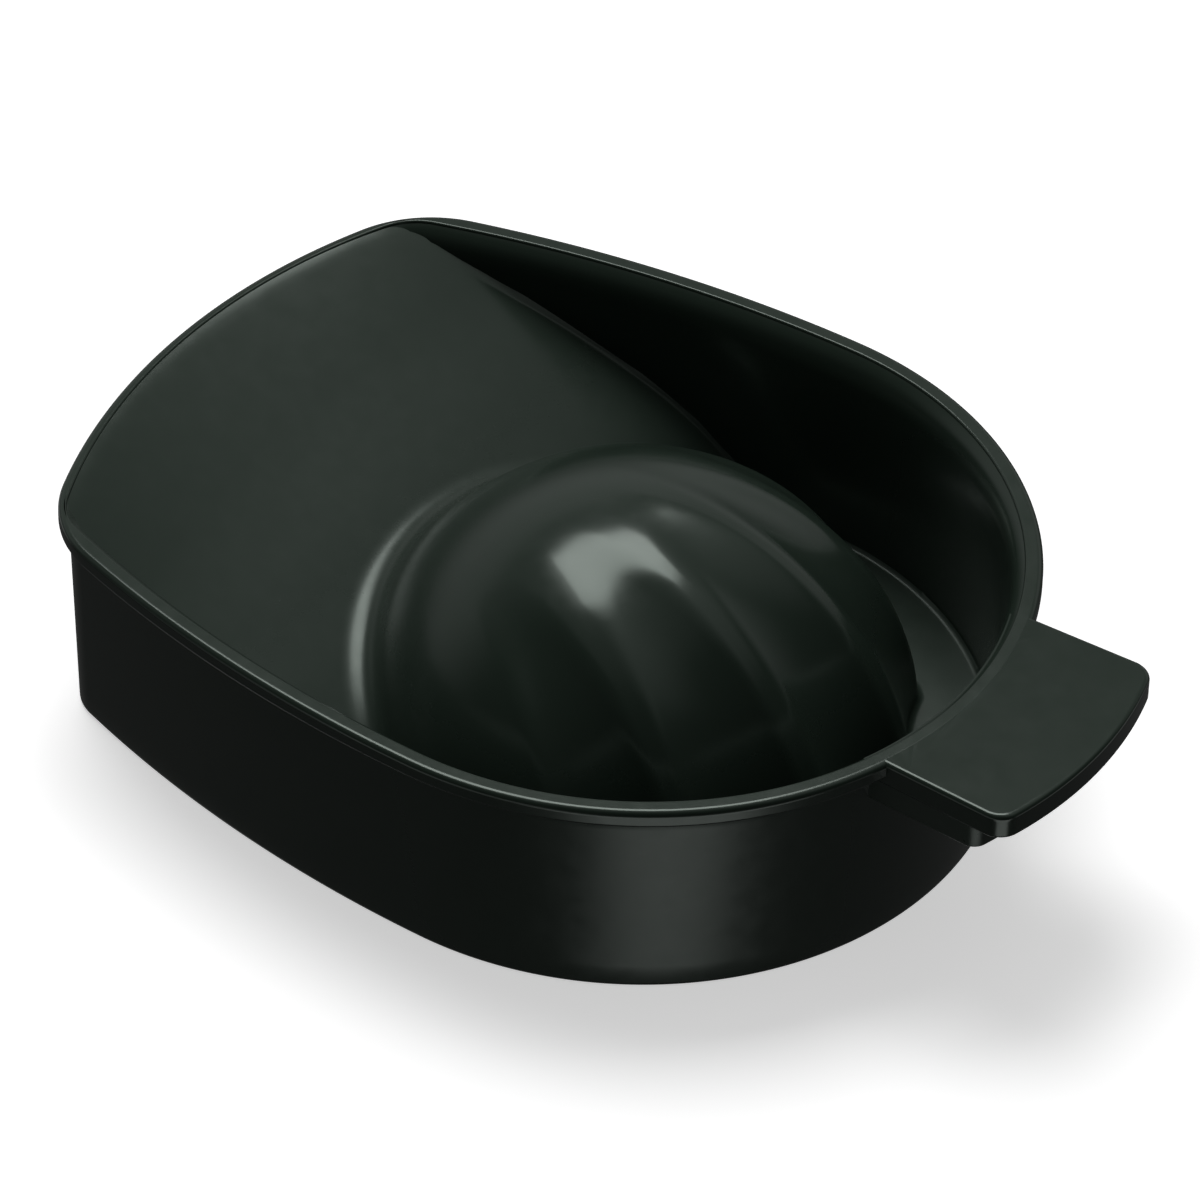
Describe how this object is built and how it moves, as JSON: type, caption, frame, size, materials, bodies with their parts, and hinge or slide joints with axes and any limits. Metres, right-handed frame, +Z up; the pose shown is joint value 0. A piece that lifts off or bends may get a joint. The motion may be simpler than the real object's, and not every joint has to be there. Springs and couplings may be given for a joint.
{
  "type": "manicure soaking bowl",
  "caption": "One-piece plastic bowl for soaking fingernails: sloping wrist ramp, fluted finger dome in a water moat, rim lip and flat thumb handle.",
  "frame": {"origin": "on the resting plane, at the centre of the round end's arc, which is also the middle of the finger dome", "axes": "+X towards the thumb handle, +Y across the bowl, +Z up"},
  "size_m": [0.176, 0.1276, 0.047],
  "materials": {
    "bowl_plastic": "polished injection-moulded near-black plastic with a faint green cast"
  },
  "bodies": {
    "root": {"outer_wall": "bowl_plastic", "rim": "bowl_plastic", "moat_floor": "bowl_plastic", "wrist_ramp": "bowl_plastic", "finger_dome": "bowl_plastic", "thumb_handle": "bowl_plastic", "handle_skirt": "bowl_plastic", "handle_gusset": "bowl_plastic"}
  },
  "joints": []
}
